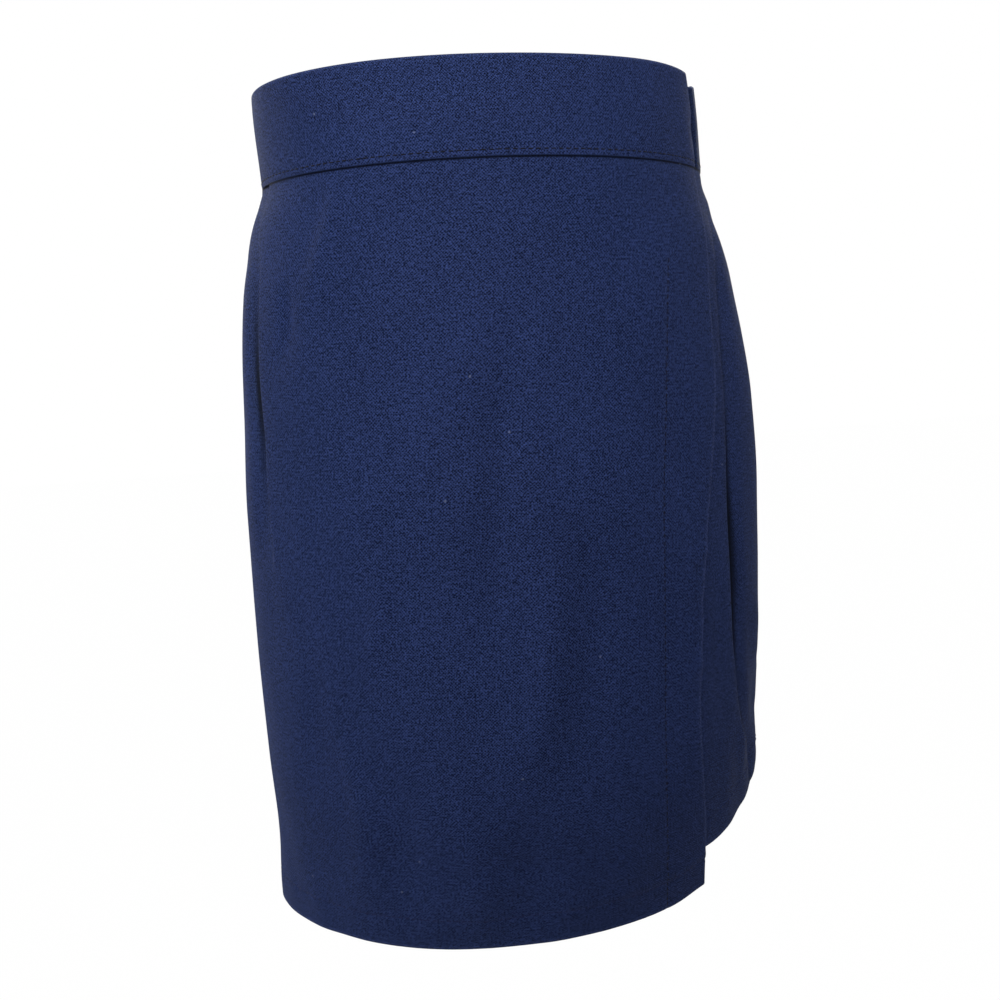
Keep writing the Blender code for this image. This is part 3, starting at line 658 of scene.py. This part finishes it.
# Front panel: side seam, tuck, plain front, then the facing turned under at the free edge.
panel = {
    "out": 2.3,             # stands this far off the shorts' cloth
    "hemSide": -401.4, "hemEdge": -395.2, "hemPower": 2.0, "hemBelly": 2.2,
    "cornerDrop": 2.6, "cornerRun": 72.0,   # the hem hangs lower at the side seam
    "hipSwell": 2.6, "hipHeight": -63.0, "hipTall": 11.0, "hipWide": 45.0,
    "edgeLift": 1.3,        # the free edge stands out a little
    "facingFrom": -88.0,    # the facing is stitched down from here
    # free edge: height, degrees from centre front
    "freeEdge": [(-40, 60.4), (-44, 60), (-76, 51), (-110, 44.8), (-150, 41.3), (-200, 35), (-245, 32.2), (-285, 31),
                 (-325, 32.7), (-360, 36.3), (-403, 39.6)],
    # the facing's stitch line runs almost plumb while that edge swings: height, distance from the right side seam
    "facing": [(-40, 222), (-88, 230.3), (-130, 231.5), (-210, 231.6), (-250, 231), (-300, 229.4), (-340, 228.8),
               (-410, 230)],
    # tuck: height, degrees to its fold, depth, turn, gape, lift, belly
    "tuck": [(-40, 77, 9, 180, .2, 0, 0), (-65, 75.5, 7.5, 180, .3, .2, 0), (-88, 70.5, 6, 180, .5, .4, .8),
             (-130, 69.5, 2.5, 180, .8, .6, 1), (-165, 67.3, .5, 175, .7, .5, 1), (-195, 67.5, 0, 90, .4, .2, .5),
             (-225, 68, 0, 0, .4, 0, 0), (-403, 68, 0, 0, .4, 0, 0)],
    # soft creases: across and height at one end and at the other, how proud as a share of creaseHeight, half width;
    # across is from the right side seam
    "creaseHeight": 2.3,
    "creases": [
        (66, -46, 69, -104, 0.9, 5.5), (53, -92, 55, -128, -0.7, 5), (157, -105, 155, -165, -0.9, 9),
        (155, -140, 145, -262, -1.2, 9), (126, -150, 118, -240, 0.6, 12), (180, -205, 160, -318, 0.95, 9),
        (197, -215, 178, -320, -0.9, 10), (90, -196, 118, -183, 0.6, 3), (107, -212, 95, -262, 0.7, 4),
        (84, -290, 79, -385, 0.9, 7), (103, -300, 100, -390, -0.8, 8), (132, -322, 136, -398, 0.9, 8),
        (162, -318, 158, -398, -0.9, 10), (200, -330, 215, -385, 0.7, 10), (215, -90, 222, -190, 0.4, 12),
        (66, -250, 58, -330, -0.6, 9), (236, -150, 238, -205, -0.35, 5), (176, -60, 170, -110, -0.3, 10),
        (128, -357, 190, -359, -0.35, 7), (88, -352, 104, -354, -0.35, 7), (102, -46, 103, -74, -0.8, 6),
        (268, -262, 234, -276, 0.8, 3.5), (268, -212, 238, -224, 0.8, 3), (266, -236, 238, -246, -0.8, 3.5),
    ],
}

# distance back from the free edge when the facing is 26 wide; the row of stitches lies on 26
facingWide = 26
edgeStops = [40, 34, 30, 28.2, 27.2, 26.6, 26, 25.4, 24.8, 23.8, 22, 19.5, 17, 14.5, 12, 9.5, 7, 4.8, 3, 1.8]

edgeLevels = np.arange(-40, -406, -3.0)
edgeTable, seamToSeam = zip(*[ringDistance(h, readRows(panel["freeEdge"], h)) for h in edgeLevels])


def edgeLine(height):
    return np.interp(-height, -edgeLevels, edgeTable)


def panelPath(height):
    p = panel
    curve = PlanCurve(ringAt(height, ringTurns)[0], 1.0)
    fold = np.interp(-readRows(p["tuck"], height), ringTurns, curve.along)
    far = np.interp(readRows(p["freeEdge"], height), ringTurns, curve.along)
    wide = far - readRows(p["facing"], height)
    radius = edgeRadius(height, p["hemEdge"])
    w = facingWide
    facing = [far - (back - w + wide if back > w else back * wide / w) for back in edgeStops]
    run = seamEdge(radius)
    run += tuckPoints(p["tuck"], height, run[-1][0], fold, np.arange(1, 136) / 136, far - wide - 20, facing)
    run += turnUnder(far, run[-1][1], radius, wide - 0.6, 1, folding["facingPoints"])
    return curve, run


def panelHemLine(across):
    p = panel
    width = edgeTable[-2]
    rise = (p["hemEdge"] - p["hemSide"]) * (np.clip(across, 0, width) / width) ** p["hemPower"]
    back = width - across
    belly = p["hemBelly"] * ease(back, 4, 26) * (1 - 0.68 * ease(back, 36, 120) - 0.25 * ease(back, 130, 190))
    return p["hemSide"] + rise - belly - p["cornerDrop"] * fade(across, 0, p["cornerRun"])


def hipSwell(across, height):  # the right hip fills the cloth out on both sides of its seam
    p = panel
    return p["hipSwell"] * hump(height, p["hipHeight"], p["hipTall"]) * hump(across, 0, p["hipWide"])


def panelRelief(across, height):
    p = panel
    far, facing, hem = edgeLine(height), readRows(p["facing"], height), panelHemLine(across)
    relief = p["creaseHeight"] * creaseRelief(p["creases"], across, height)
    relief = relief + ripple(11, across, height, 0.5) + ripple(12, across, height, 0.1, 24.0)
    relief = relief * fade(height, -66, -46) * ease(across, 0, 16)
    relief *= 0.45 + 0.55 * ease(far - across, 18, 44)  # the facing stiffens the edge
    relief += pucker(21, height, across - facing, 0.1) * fade(height, p["facingFrom"] - 6, p["facingFrom"] + 2)
    relief += pucker(22, across, height - (hem + cloth["hemStitch"]), 0.09)
    relief += 0.35 * hump(height - hem, cloth["hemDeep"] + 0.5, 2.6) * ease(across, 110, 215)  # the hem's raw edge
    free = ease((across - facing) / (far - facing), 0, 1)
    relief += p["edgeLift"] * free * ease(-height, 95, 150) * fade(-height, 330, 385)
    relief = relief + hipSwell(across, height) + 1.2 * ease(-height, 366, 398) * hump(across, 0, 25)
    # drawn in along the side seam and, at the top, to the band
    relief = relief - 1.3 * fade(across, 0, 6.5) * ease(-height, 50, 66) - 0.2 * ease(height, -52, -45.5)
    return relief + p["out"]


def panelTones(across, height):
    # rims and edges painted paler (wear and painted highlight); painted shade by the tuck and in the waist seam
    rim, paintedShade = foldTones(across, height, 1.5 * fade(-height, 170, 200), 1.0 * hump(height, -140, 34), 6.0)
    edges = 0.55 * hump(edgeLine(height) - across, 0, 1.4) + 0.5 * hump(height - panelHemLine(across), 0, 1.6)
    return {"wearAndHighlight": edges + 0.35 * hump(across, 0, 1.5) + rim, "paintedShadeMask": paintedShade + 1.2 * ease(height, -45.8, -45.1)}


def makePanel():
    table = levelTable(np.arange(cloth["seamTop"], -406, -2.0), panelPath)
    columns = table["out"].shape[1]
    hem, hemTop = hemFold(table, -398.0, panelHemLine)
    upper = np.concatenate([seamRows, np.linspace(0.021, 1, 146)])[:, None]
    upper = cloth["seamTop"] + (hemTop - cloth["seamTop"])[None] * upper
    sheet = finishSheet("frontPanel", table, upper, hem, panelRelief, panelTones, 200, 1)
    turned = folding["facingPoints"] + folding["turnPoints"] + 1
    line = columns - turned - len(edgeStops) + edgeStops.index(facingWide)
    rows = np.arange(int(np.argmax(sheet["z"][:, line] < panel["facingFrom"])), len(sheet["z"]) - 1)
    stitchesOn("facingStitching", sheet, rows, line, thread)
    stitchesOn("panelHemStitching", sheet, sheet["hemRow"], np.arange(12, columns - 14), hemThread)
    declare(sheet["piece"], "navy_gabardine", "front_panel")
    print("front panel", sheet["grid"].shape)
    return sheet["piece"]


frontPanel = makePanel()

# Legs: side seam, on the left front a tuck, then round the fork to the centre seam; allowances pressed open.
shorts = {
    "hemSide": -350.0, "hemDrop": 23.0, "hemRun": 95.0, "hemSag": 1.7,
    "riseStart": -190.0, "crotch": -265.0, "legCentre": 60.0, "crotchParting": 0.62, "partingRun": 0.15,
    "legParting": 5.0, "corner": 4.0, "forkEdge": 16.0,
    "waistSwell": 1.8, "hemSwell": 2.0,     # the left side stands out under the band and at the hem
    "underPanel": -1.1,     # the fronts lie lower where the panel covers them
    # tuck on the left leg, as on the panel
    "tuck": [(-40, 70, 14, 180, .2, 0, .6), (-65, 64.5, 13.5, 180, .3, 0, .8), (-82, 58, 13, 180, .4, 0, 1),
             (-102, 52.5, 13, 180, .4, 0, 1.5), (-125, 49.8, 12.5, 180, .4, 0, 3), (-155, 48, 12, 180, .8, .2, 4.5),
             (-200, 44.8, 11, 180, 2.4, .5, 3.5), (-260, 45.8, 10, 180, 3, .8, 2.5),
             (-290, 48.2, 9, 180, 2.3, .8, 1.6), (-317, 53.2, 7, 180, 1.3, .8, 1.2), (-331, 58, 4.5, 180, .7, .8, 2.6),
             (-343, 62, 1.2, 170, .3, 1, 3.6), (-352, 64.5, 0, 60, .3, 1.3, 4.3), (-360, 66.5, 0, 0, .3, 1.3, 4.4),
             (-376, 68, 0, 0, .3, 1.2, 4)],
    # cloth is pulled a little towards the fork when worn: creases on the fronts and on the backs
    "pulls": {-1: [(120, -215, 172, -254, 1.3, 6)],
              1: [(118, -205, 176, -252, 1.8, 6), (104, -232, 170, -264, -1.6, 6),
                  (84, -262, 140, -284, 1.3, 7), (150, -170, 186, -226, -1.2, 7)]},
    # each leg's node, the side and the face that it is on, and its cut width at the fork and area
    "legs": {"leftLegFront": ("left_leg_front", 1, -1, 0.315, 0.088),
             "rightLegFront": ("right_leg_front", -1, -1, 0.287, 0.079),
             "leftLegBack": ("left_leg_back", 1, 1, 0.287, 0.079),
             "rightLegBack": ("right_leg_back", -1, 1, 0.287, 0.079)},
}
forkStops = [(k / 22) ** 1.2 for k in range(1, 23)]


def legCurve(height, side, face):  # one leg from its side seam to its centre seam, and how far its fork is along
    s = shorts
    half, depth, middle = figureAt(height)
    under = np.clip((s["riseStart"] - height) / (s["riseStart"] - s["crotch"]), 0, 1)
    centre = s["legCentre"] * under
    parting = cloth["seamGap"] + s["crotchParting"] * ease(under, 0, s["partingRun"])
    parting += s["legParting"] * ease(-height, -s["crotch"], -s["hemSide"])
    seamDepth = depth * sqrt(1 - under * under) + cloth["seamGap"]
    first = -degrees(atan2(centre - parting, seamDepth)) if under > 0 else 0.0
    turn = np.radians(np.linspace(90, first, 361))
    across, forward = np.sin(turn), np.cos(turn)
    square = (across / half) ** 2 + (forward / depth) ** 2
    line = centre * across / half ** 2
    reach = (-line + np.sqrt(line ** 2 + square * (1 - (centre / half) ** 2))) / square
    if under > 0:
        toPlane = (centre - parting) / np.maximum(-across, 1e-6)
        corner = s["corner"] / under
        reach = reach / (1 + (reach / toPlane) ** corner) ** (1 / corner)
    x = np.maximum(centre + reach * across, cloth["seamGap"])
    y = reach * forward
    y[0] = cloth["seamGap"]
    curve = PlanCurve(np.stack([side * x, middle + face * y], 1), side * face)
    return curve, curve.reaches(parting + s["forkEdge"])


def legHem(across):
    s = shorts
    return s["hemSide"] - s["hemDrop"] * ease(across, 0, s["hemRun"]) - s["hemSag"] * hump(across, 31, 16)


def legPath(side, face):
    s = shorts

    def pathAt(height):
        curve, fork = legCurve(height, side, face)
        radius = edgeRadius(height, s["hemSide"] - 8)
        run = seamEdge(radius)
        first, last = run[-1][0], curve.length - radius
        beyond = [fork + (last - fork) * share for share in forkStops]
        if side > 0 > face:
            along, total = ringDistance(height, readRows(s["tuck"], height))
            run += tuckPoints(s["tuck"], height, first, total - along, np.arange(1, 41) / 40, fork, beyond)
        else:
            run += [(at, 0) for at in [first + (fork - first) * k / 76 for k in range(1, 77)] + beyond]
        run += turnUnder(curve.length, run[-1][1], radius, cloth["allowance"], 1, folding["allowancePoints"])[1:]
        return curve, run
    return pathAt


def legRelief(side, face):
    s = shorts
    seed, back = 40 + side + 3 * face, face > 0
    creases = scatterCreases(seed, 9 if back else 5, (24, 170), (-250, -70), 2.0 if back else 1.3)
    creases += scatterCreases(seed + 20, 6, (10, 150), (-330, -240), 1.7) + s["pulls"][face]

    def relief(across, height):
        bump = creaseRelief(creases, across, height)
        bump = bump + ripple(seed, across, height, 0.4) + ripple(seed + 1, across, height, 0.12, 26.0)
        bump = bump * ease(across, 2, 20) * fade(height, -66, -46)
        flush = 1.6 * ease(height, -56, -45.5)  # comes out to meet the band
        if side > 0:  # and follows it where it stands out
            forward = -across if back else across
            flush += sideSwell(forward) * fade(-height, 52, 76)
            flush += s["waistSwell"] * hump(height, -58, 9) * hump(forward, 22, 24)
            flush += s["hemSwell"] * hump(height, -356, 17) * hump(forward, 36, 22)
        elif back:
            bump += hipSwell(across, height)
            bump += 0.8 * fade(across, 0, 6.5)  # comes out to meet the panel in the side seam
        if not back:  # lies lower under the panel, and lower still where the panel's own relief dips
            low = s["underPanel"] * ease(across, 0, 12) * fade(height, -58, -48)
            fromRight = across if side < 0 else np.interp(-height, -edgeLevels, seamToSeam) - across
            covered = 1.0 if side < 0 else ease(edgeLine(height) - fromRight, -6, 10)
            if side < 0:
                low += np.minimum(panelRelief(across, height) - panel["out"], 0)
            bump = bump * (1 - covered) + covered * low
            flush = 0.5 * ease(height, -54, -45.5) * covered + flush * (1 - covered)
        if side < 0 and not back:  # leaves room for the panel's tuck and side seam
            dip = 2.3 * ease(across, 2, 13) * fade(across, 50, 110) * fade(-height, 215, 262)
            bump = bump - dip * fade(height, -54, -47) - 0.9 * fade(across, 0, 6)
        bump += pucker(seed + 5, across, height - (legHem(across) + cloth["hemStitch"]), 0.09)
        groove = 0.5 * fade(across.max(axis=1, keepdims=True) - across, 0, 4)
        if back or side > 0:
            groove += 0.35 * fade(across, 0, 4)
        return bump + flush + 0.2 - groove
    return relief


def legTones(side, face):
    def toneAt(across, height):
        # hem fold and side seam painted paler, partly wear, partly painted highlight; then painted shade in the seams
        wearAndHighlight = 0.6 * hump(height - legHem(across), 0, 1.8) + 0.35 * hump(across, 0, 1.2)
        paintedShade = 1.2 * ease(height, -45.8, -45.1) + 0.6 * hump(across, 0, 0.7)
        paintedShade += 0.6 * hump(across.max(axis=1, keepdims=True) - across, 0, 0.7)
        if side > 0 > face:  # the tuck gapes in the middle; its painted shade is wider there
            gaping = ease(-height, 150, 185) * fade(-height, 318, 344)
            wide = 4.0 - 1.8 * ease(-height, 325, 345) + 4.2 * hump(height, -232, 40)
            rim, shade = foldTones(across, height, 1.1 - 0.8 * ease(-height, 150, 172), 0.35 + 0.65 * gaping, wide)
            wearAndHighlight, paintedShade = wearAndHighlight + rim, paintedShade + shade
        return {"wearAndHighlight": wearAndHighlight, "paintedShadeMask": paintedShade}
    return toneAt


def makeLeg(name, node, side, face):
    s = shorts
    rise = [s["riseStart"] + (s["crotch"] - s["riseStart"]) * sin(radians(90 * k / 34)) for k in range(1, 35)]
    above = [*(cloth["seamTop"] + (s["hemSide"] - cloth["seamTop"]) * seamRows)]
    above += [*np.linspace(-51, s["riseStart"], 58), *rise]
    table = levelTable(above + [*np.arange(s["crotch"] - 1.5, -376, -2.0)], legPath(side, face))
    columns = table["out"].shape[1]
    hem, hemTop = hemFold(table, s["hemSide"] - s["hemDrop"], legHem)
    upper = [np.full((1, columns), h) for h in above]
    upper += [(s["crotch"] + (hemTop - s["crotch"]) * k / 35)[None] for k in range(1, 36)]
    relief, toneAt = legRelief(side, face), legTones(side, face)
    sheet = finishSheet(name, table, np.concatenate(upper), hem, relief, toneAt, 60, side * face)
    stitchesOn(name + "Stitching", sheet, sheet["hemRow"], np.arange(10, columns - 10), hemThread)
    declare(sheet["piece"], "navy_gabardine", node)
    print(name, sheet["grid"].shape)
    return sheet["piece"]


legs = [makeLeg(name, *facts[:3]) for name, facts in shorts["legs"].items()]
band = makeBand()
for node in ("waist_hook", "waist_bar"):
    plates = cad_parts[node].data.materials
    plates.clear()
    plates.append(steel)

print("pieces declared")

# Floor, background and light.
stage = {
    "floor": -0.80, "floorReach": 6.0, "world": 0.05, "whiteShare": 0.98,
    "glow": 1.014,          # with the paint's share, the world's white
    "away": 1.7, "heart": -0.2, "size": 1.0, "spread": 64.0,    # grids keep the softboxes' light off the floor
    # azimuth round from the front, elevation, height that it is aimed at, watts
    "softboxes": {"front": (-12, 30, 0.2, 3.5), "frontLeft": (-40, 45, 0.1, 1.45), "left": (-80, 4, -0.34, 1.9),
                  "frontRight": (45, 20, 0.4, 1.1), "right": (95, 15, 0.15, 0.35),
                  "backRight": (150, 25, -0.15, 2.6), "backLeft": (-145, 25, -0.15, 2.4)},
}


def seenBy(tree, *rays):  # 1 for those rays, and 0 for the light that falls on things
    path, seen = addNode(tree, "LightPath"), 0.0
    for ray in rays:
        seen = addNode(tree, "Math", {"operation": "MAXIMUM"}, {0: path.outputs[ray], 1: seen})
    return seen


def makeStage():
    reach, level = stage["floorReach"], stage["floor"]
    floor = bpy.data.meshes.new("studioFloor")
    corners = [(x * reach, y * reach, level) for x, y in ((-1, -1), (1, -1), (1, 1), (-1, 1))]
    floor.from_pydata(corners, [], [(0, 1, 2, 3)])
    addItem("studioFloor", floor)
    # Painted board: white where it is looked at, but a plain pale grey to the light that it returns
    material, tree = newMaterial("paintedWhiteBoard")
    seen = seenBy(tree, "Is Camera Ray", "Is Glossy Ray")
    share = addNode(tree, "Math", {"operation": "MULTIPLY"}, {0: seen, 1: stage["whiteShare"]})
    grain = addNode(tree, "TexNoise", None, {"Scale": 40.0})
    tint = addNode(tree, "Mix", {"data_type": "RGBA"}, {0: grain, 6: linear("#a2a2a0"), 7: linear("#a8a8a6")})
    paint = addNode(tree, "BsdfPrincipled", None, {"Base Color": tint.outputs[2], "Roughness": 0.8})
    glow = addNode(tree, "Emission", None, {"Color": (1, 1, 1, 1), "Strength": stage["glow"]})
    mix = addNode(tree, "MixShader", None, {0: share, 1: paint, 2: glow})
    addNode(tree, "OutputMaterial", None, {0: mix})
    floor.materials.append(material)

    world = bpy.data.worlds.new("studioWhite")
    world.use_nodes = True
    tree = world.node_tree
    tree.nodes.clear()
    seen = seenBy(tree, "Is Camera Ray", "Is Glossy Ray", "Is Transmission Ray")
    strength = addNode(tree, "MapRange", None, {"Value": seen, "To Min": stage["world"], "To Max": 1.0})
    back = addNode(tree, "Background", None, {"Color": (1, 1, 1, 1), "Strength": strength})
    addNode(tree, "OutputWorld", None, {0: back})
    scene.world = world

    heart = Vector((0, 0, stage["heart"]))
    for name, (azimuth, elevation, aim, power) in stage["softboxes"].items():
        lamp = bpy.data.lights.new(name + "Softbox", "AREA")
        lamp.shape, lamp.size, lamp.energy, lamp.spread = "SQUARE", stage["size"], power, radians(stage["spread"])
        turn, rise = radians(azimuth), radians(elevation)
        place = Vector((sin(turn) * cos(rise), -cos(turn) * cos(rise), sin(rise)))
        light = addItem(lamp.name, lamp)
        light.location = heart + place * stage["away"]
        light.rotation_euler = (Vector((0, 0, aim)) - light.location).to_track_quat("-Z", "Y").to_euler()


makeStage()

view = {"turn": -12.0, "pitch": 8.35, "roll": 3.04, "away": 560.0, "height": -121.1, "aside": -0.8, "lens": 39.26}


def makeCamera():
    turn, pitch, roll = (radians(view[key]) for key in ("turn", "pitch", "roll"))
    sideways = Matrix.Rotation(turn, 4, "Z")
    place = sideways @ Vector((0, -view["away"], view["height"])) + Vector((view["aside"], 0, 0))
    tilt = Matrix.Rotation(pi / 2 - pitch, 4, "X") @ Matrix.Rotation(-roll, 4, "Z")
    lens = bpy.data.cameras.new("camera")
    lens.lens, lens.sensor_width, lens.clip_start = view["lens"], 36.0, 0.01
    camera = addItem("camera", lens)
    camera.matrix_world = Matrix.Translation(place * mm) @ sideways @ tilt
    scene.camera = camera


makeCamera()
scene.view_settings.view_transform = "Standard"
print("stage and camera set")
